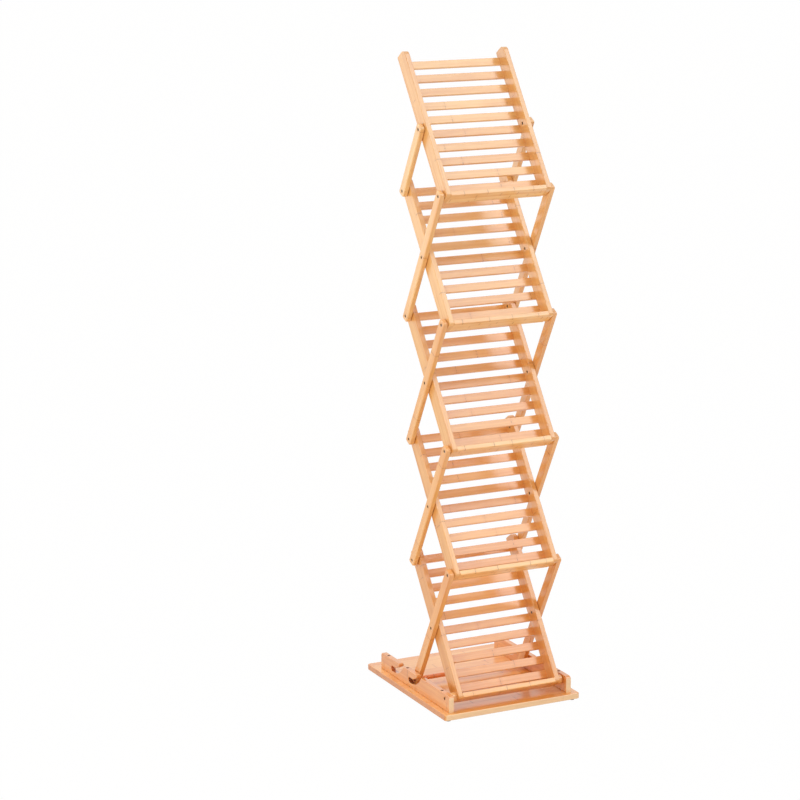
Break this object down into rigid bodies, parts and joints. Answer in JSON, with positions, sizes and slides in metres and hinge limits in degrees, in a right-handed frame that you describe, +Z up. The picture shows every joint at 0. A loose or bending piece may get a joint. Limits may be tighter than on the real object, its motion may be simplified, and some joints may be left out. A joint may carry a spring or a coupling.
{
  "type": "folding magazine rack",
  "caption": "Tall folding rack of bamboo: slatted trays and side links cross like scissor arms and stand as a zigzag tower between notched cheeks on a base board.",
  "frame": {"origin": "on the floor, under the middle of the base board", "axes": "+X to the right seen from the front, +Y to the back, +Z up; the trays face -Y"},
  "size_m": [0.324, 0.375, 1.3695],
  "materials": {
    "bamboo": "satin",
    "bamboo_slat": "satin",
    "bamboo_base": "satin",
    "steel": "satin",
    "rubber": "matte"
  },
  "bodies": {
    "base": {"base_board": "bamboo_base", "cheek_left": "bamboo_base", "cheek_right": "bamboo_base", "rubber_feet": "rubber", "cheek_screws": "steel", "front_spacers": "bamboo", "front_pivot_pins": "steel"},
    "tray_5": {"rail_left_5": "bamboo", "rail_right_5": "bamboo", "slats_5": "bamboo_slat", "ledge_5": "bamboo"},
    "links_5": {"link_left_5": "bamboo", "link_right_5": "bamboo", "pivot_pins_5": "steel", "washers_5": "steel", "foot_bar": "bamboo_slat"},
    "tray_4": {"rail_left_4": "bamboo", "rail_right_4": "bamboo", "slats_4": "bamboo_slat", "ledge_4": "bamboo"},
    "links_4": {"link_left_4": "bamboo", "link_right_4": "bamboo", "pivot_pins_4": "steel", "washers_4": "steel"},
    "tray_3": {"rail_left_3": "bamboo", "rail_right_3": "bamboo", "slats_3": "bamboo_slat", "ledge_3": "bamboo"},
    "links_3": {"link_left_3": "bamboo", "link_right_3": "bamboo", "pivot_pins_3": "steel", "washers_3": "steel"},
    "tray_2": {"rail_left_2": "bamboo", "rail_right_2": "bamboo", "slats_2": "bamboo_slat", "ledge_2": "bamboo"},
    "links_2": {"link_left_2": "bamboo", "link_right_2": "bamboo", "pivot_pins_2": "steel", "washers_2": "steel"},
    "tray_1": {"rail_left_1": "bamboo", "rail_right_1": "bamboo", "slats_1": "bamboo_slat", "ledge_1": "bamboo"},
    "links_1": {"link_left_1": "bamboo", "link_right_1": "bamboo", "pivot_pins_1": "steel", "washers_1": "steel"}
  },
  "joints": [
    {"name": "rack_fold", "type": "hinge", "parent": "base", "child": "tray_5", "pos_m": [0, -0.1539, 0.0416], "axis": [-1, 0, 0], "range_deg": [0, 49.44]},
    {"name": "cross_pivot_5", "type": "hinge", "parent": "tray_5", "child": "links_5", "pos_m": [0, -0.06412, 0.1679], "axis": [1, 0, 0], "range_deg": [0, 102.67]},
    {"name": "foot_pivot_4", "type": "hinge", "parent": "links_5", "child": "tray_4", "pos_m": [0, -0.13784, 0.30421], "axis": [-1, 0, 0], "range_deg": [0, 102.67]},
    {"name": "cross_pivot_4", "type": "hinge", "parent": "tray_4", "child": "links_4", "pos_m": [0, -0.04806, 0.43051], "axis": [1, 0, 0], "range_deg": [0, 102.67]},
    {"name": "foot_pivot_3", "type": "hinge", "parent": "links_4", "child": "tray_3", "pos_m": [0, -0.12178, 0.56682], "axis": [-1, 0, 0], "range_deg": [0, 102.67]},
    {"name": "cross_pivot_3", "type": "hinge", "parent": "tray_3", "child": "links_3", "pos_m": [0, -0.032, 0.69312], "axis": [1, 0, 0], "range_deg": [0, 102.67]},
    {"name": "foot_pivot_2", "type": "hinge", "parent": "links_3", "child": "tray_2", "pos_m": [0, -0.10571, 0.82943], "axis": [-1, 0, 0], "range_deg": [0, 102.67]},
    {"name": "cross_pivot_2", "type": "hinge", "parent": "tray_2", "child": "links_2", "pos_m": [0, -0.01594, 0.95573], "axis": [1, 0, 0], "range_deg": [0, 102.67]},
    {"name": "foot_pivot_1", "type": "hinge", "parent": "links_2", "child": "tray_1", "pos_m": [0, -0.08965, 1.09204], "axis": [-1, 0, 0], "range_deg": [0, 102.67]},
    {"name": "cross_pivot_1", "type": "hinge", "parent": "tray_1", "child": "links_1", "pos_m": [0, 0.00013, 1.21834], "axis": [1, 0, 0], "range_deg": [0, 102.67]}
  ],
  "couplings": [
    {"joint": "cross_pivot_5", "follows": "rack_fold", "ratio": 2.0769},
    {"joint": "foot_pivot_4", "follows": "rack_fold", "ratio": 2.0769},
    {"joint": "cross_pivot_4", "follows": "rack_fold", "ratio": 2.0769},
    {"joint": "foot_pivot_3", "follows": "rack_fold", "ratio": 2.0769},
    {"joint": "cross_pivot_3", "follows": "rack_fold", "ratio": 2.0769},
    {"joint": "foot_pivot_2", "follows": "rack_fold", "ratio": 2.0769},
    {"joint": "cross_pivot_2", "follows": "rack_fold", "ratio": 2.0769},
    {"joint": "foot_pivot_1", "follows": "rack_fold", "ratio": 2.0769},
    {"joint": "cross_pivot_1", "follows": "rack_fold", "ratio": 2.0769}
  ]
}
